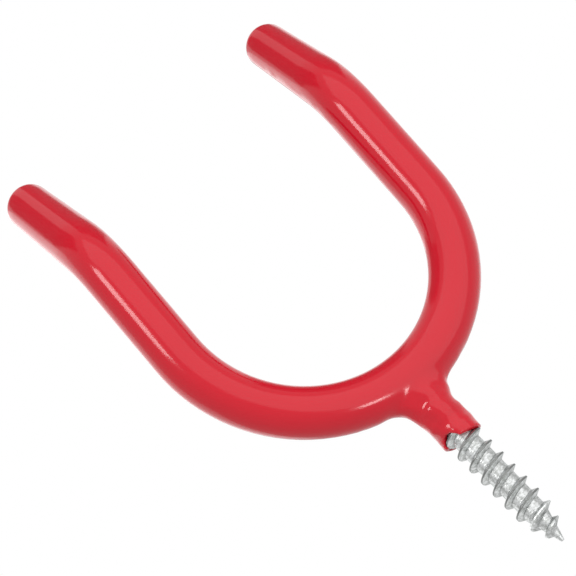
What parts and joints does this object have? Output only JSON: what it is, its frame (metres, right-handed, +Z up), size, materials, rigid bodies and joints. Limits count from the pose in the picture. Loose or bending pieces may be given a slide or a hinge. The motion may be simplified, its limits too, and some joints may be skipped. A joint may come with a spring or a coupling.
{
  "type": "screw-in utility hook",
  "caption": "Vinyl-dipped steel fork hook with upturned tips, on a coarse wood-thread screw for a wall stud or joist.",
  "frame": {"origin": "on the screw's axis where the vinyl coat stops, which is the wall's surface when the hook is screwed home", "axes": "-Y along the screw into the wall, +Y out along the fork's arms, +Z up, the way the tips turn"},
  "size_m": [0.0738, 0.1259, 0.0268],
  "materials": {
    "bar_steel": "bare mild steel bar, hidden under the coat",
    "zinc_plate": "bright zinc plate over a rolled thread",
    "red_vinyl": "glossy dipped vinyl, slightly wavy over the thread"
  },
  "bodies": {
    "root": {"steel_fork": "bar_steel", "lag_screw": "zinc_plate", "vinyl_coating": "red_vinyl"}
  },
  "joints": []
}
